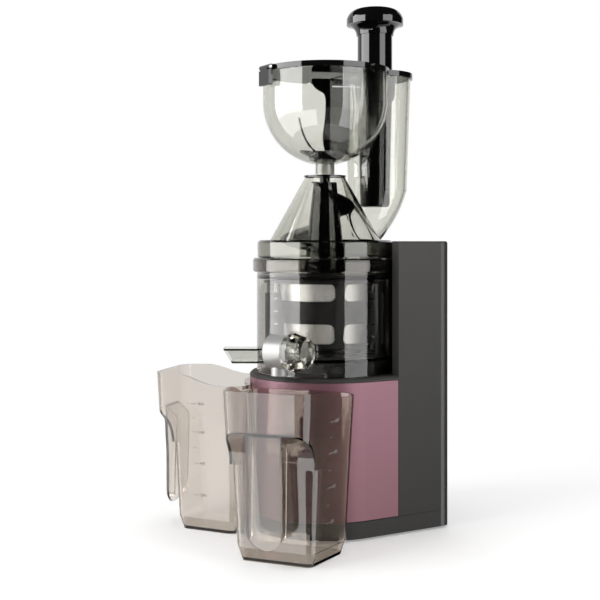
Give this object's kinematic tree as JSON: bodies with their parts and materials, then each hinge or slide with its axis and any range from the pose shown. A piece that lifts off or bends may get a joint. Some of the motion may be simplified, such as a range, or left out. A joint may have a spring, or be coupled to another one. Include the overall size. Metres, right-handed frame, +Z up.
{
  "type": "cold press juicer",
  "caption": "Upright slow juicer: motor base with rose panel, smoked juicing bowl with auger, strainer and tap, clear hopper with feed chute and pusher, and two clear jugs.",
  "frame": {"origin": "on the drive axis, in the plane that the rubber foot ring stands on", "axes": "+Z up along the drive axis, -Y the round front with both outlets, +X the flat side seen in the picture"},
  "size_m": [0.2635, 0.2547, 0.52],
  "materials": {
    "housing_grey": "satin",
    "panel_rose": "satin metallic",
    "cover_black": "satin",
    "rubber_black": "matte",
    "steel": "machined",
    "zinc": "cast",
    "copper_steel": "laminated core with windings",
    "smoke_clear": "clear smoked plastic",
    "pale_clear": "clear plastic",
    "jug_clear": "clear brown-grey plastic",
    "knob_clear": "clear faceted plastic",
    "tap_silver": "silver-grey gloss",
    "black_gloss": "gloss",
    "strainer_dark": "satin",
    "mesh_steel": "etched sheet",
    "silicone_dark": "soft matte",
    "gear_white": "natural plastic",
    "board_green": "board with parts"
  },
  "bodies": {
    "base": {"motor_housing": "housing_grey", "front_panel": "panel_rose", "rear_cover": "cover_black", "bottom_plate": "cover_black", "foot_ring": "rubber_black", "housing_screws": "steel", "gearbox_case": "zinc", "gearbox_screws": "steel", "motor_can": "steel", "stator": "copper_steel", "bowl_seat": "cover_black", "shaft_seal": "rubber_black", "control_board": "board_green", "switch_frame": "black_gloss", "cord_gland": "rubber_black"},
    "rotor": {"motor_shaft": "steel", "rotor_core": "copper_steel", "cooling_fan": "gear_white"},
    "drive": {"drive_shaft": "steel"},
    "rocker": {"switch_rocker": "black_gloss"},
    "bowl": {"drum_bowl": "smoke_clear", "drum_collar": "smoke_clear", "bowl_seal": "silicone_dark", "pulp_spout": "pale_clear", "juice_nozzle": "tap_silver", "strainer_frame": "strainer_dark", "strainer_mesh": "mesh_steel", "idler_pin": "steel"},
    "tap": {"tap_plug": "tap_silver", "tap_knob": "knob_clear"},
    "idler": {"idler_gear": "gear_white"},
    "wiper": {"wiper_basket": "strainer_dark", "wiper_blades": "silicone_dark"},
    "auger": {"auger": "black_gloss", "auger_bush": "steel"},
    "lid": {"drum_lid": "pale_clear", "throat_disc": "black_gloss"},
    "hopper": {"hopper_shell": "pale_clear", "neck_bush": "gear_white", "hopper_deck": "black_gloss", "hinge_pin": "steel", "chute_collar": "black_gloss"},
    "feeder": {"feed_rotor": "black_gloss"},
    "flip": {"flip_lid": "black_gloss", "latch_pin": "steel"},
    "latch": {"latch": "black_gloss"},
    "pusher": {"pusher_body": "black_gloss", "pusher_cap": "black_gloss"},
    "juice_jug": {"juice_jug": "jug_clear"},
    "pulp_jug": {"pulp_jug": "jug_clear"}
  },
  "joints": [
    {"name": "motor_spin", "type": "hinge", "parent": "base", "child": "rotor", "pos_m": [0, 0, 0.071], "axis": [0, 0, 1], "continuous": true},
    {"name": "drive_spin", "type": "hinge", "parent": "base", "child": "drive", "pos_m": [0, 0, 0.15], "axis": [0, 0, 1], "continuous": true},
    {"name": "switch_tilt", "type": "hinge", "parent": "base", "child": "rocker", "pos_m": [-0.07, 0.066, 0.2], "axis": [0, 1, 0], "range_deg": [-10, 10]},
    {"name": "bowl_lift", "type": "slide", "parent": "base", "child": "bowl", "axis": [0, 0, 1], "range_m": [0, 0.135]},
    {"name": "auger_spin", "type": "hinge", "parent": "bowl", "child": "auger", "pos_m": [0, 0, 0.2], "axis": [0, 0, 1], "continuous": true},
    {"name": "wiper_spin", "type": "hinge", "parent": "bowl", "child": "wiper", "pos_m": [0, 0, 0.2], "axis": [0, 0, 1], "continuous": true},
    {"name": "idler_spin", "type": "hinge", "parent": "bowl", "child": "idler", "pos_m": [0.01125, 0.01949, 0.173], "axis": [0, 0, 1], "continuous": true},
    {"name": "tap_turn", "type": "hinge", "parent": "bowl", "child": "tap", "pos_m": [0.044, -0.07621, 0.179], "axis": [0.866, 0.5, 0], "range_deg": [0, 90]},
    {"name": "lid_twist", "type": "hinge", "parent": "bowl", "child": "lid", "pos_m": [0, 0, 0.27], "axis": [0, 0, 1], "range_deg": [0, 25]},
    {"name": "hopper_lift", "type": "slide", "parent": "lid", "child": "hopper", "axis": [0, 0, 1], "range_m": [0, 0.06]},
    {"name": "feeder_spin", "type": "hinge", "parent": "hopper", "child": "feeder", "pos_m": [0, 0, 0.36], "axis": [0, 0, 1], "continuous": true},
    {"name": "flip_open", "type": "hinge", "parent": "hopper", "child": "flip", "pos_m": [0, 0.016, 0.4504], "axis": [-1, 0, 0], "range_deg": [0, 90]},
    {"name": "latch_open", "type": "hinge", "parent": "flip", "child": "latch", "pos_m": [0, -0.0669, 0.4504], "axis": [-1, 0, 0], "range_deg": [0, 40]},
    {"name": "pusher_slide", "type": "slide", "parent": "hopper", "child": "pusher", "axis": [0, 0, 1], "range_m": [0, 0.2]},
    {"name": "juice_jug_pull", "type": "slide", "parent": "base", "child": "juice_jug", "axis": [0.6088, -0.7934, 0], "range_m": [0, 0.15]},
    {"name": "pulp_jug_pull", "type": "slide", "parent": "base", "child": "pulp_jug", "axis": [-0.7193, -0.6947, 0], "range_m": [0, 0.15]}
  ],
  "couplings": [
    {"joint": "drive_spin", "follows": "motor_spin", "ratio": 0.027778},
    {"joint": "auger_spin", "follows": "motor_spin", "ratio": 0.027778},
    {"joint": "feeder_spin", "follows": "motor_spin", "ratio": 0.027778},
    {"joint": "idler_spin", "follows": "motor_spin", "ratio": -0.031746},
    {"joint": "wiper_spin", "follows": "motor_spin", "ratio": -0.010101}
  ]
}
